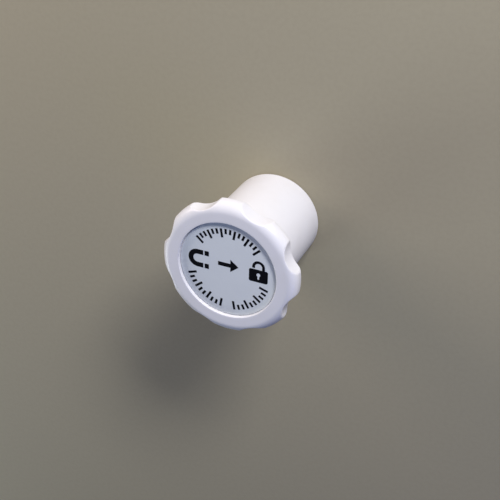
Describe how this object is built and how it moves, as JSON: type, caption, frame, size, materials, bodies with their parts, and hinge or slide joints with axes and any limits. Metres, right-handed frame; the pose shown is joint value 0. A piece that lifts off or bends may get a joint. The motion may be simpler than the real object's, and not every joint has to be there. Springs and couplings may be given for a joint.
{
  "type": "magnetic cabinet lock key",
  "caption": "White moulded key for a hidden magnetic cabinet latch: a scalloped finger knob with a recessed round label, on a plain round barrel that holds a stack of ring magnets.",
  "frame": {"origin": "centre of the working magnet face, at the closed end of the barrel", "axes": "+Z along the barrel to the front of the head; +X to the right across the label, through the middle of a lobe; +Y up the label"},
  "size_m": [0.044, 0.044, 0.0381],
  "materials": {
    "white_plastic": "smooth moulded white plastic with a soft sheen",
    "label_face": "satin pale grey label film",
    "label_ink": "black printed ink",
    "ferrite": "sintered dark grey ferrite",
    "mild_steel": "plain punched steel",
    "fibre_board": "pressed fibre",
    "zinc_steel": "bright zinc plate"
  },
  "bodies": {
    "root": {"knob_head": "white_plastic", "label_disc": "label_face", "barrel": "white_plastic", "magnet_1": "ferrite", "magnet_2": "ferrite", "magnet_3": "ferrite", "flux_plate": "mild_steel", "packing_ring": "fibre_board", "clamp_screw": "zinc_steel"}
  },
  "joints": []
}
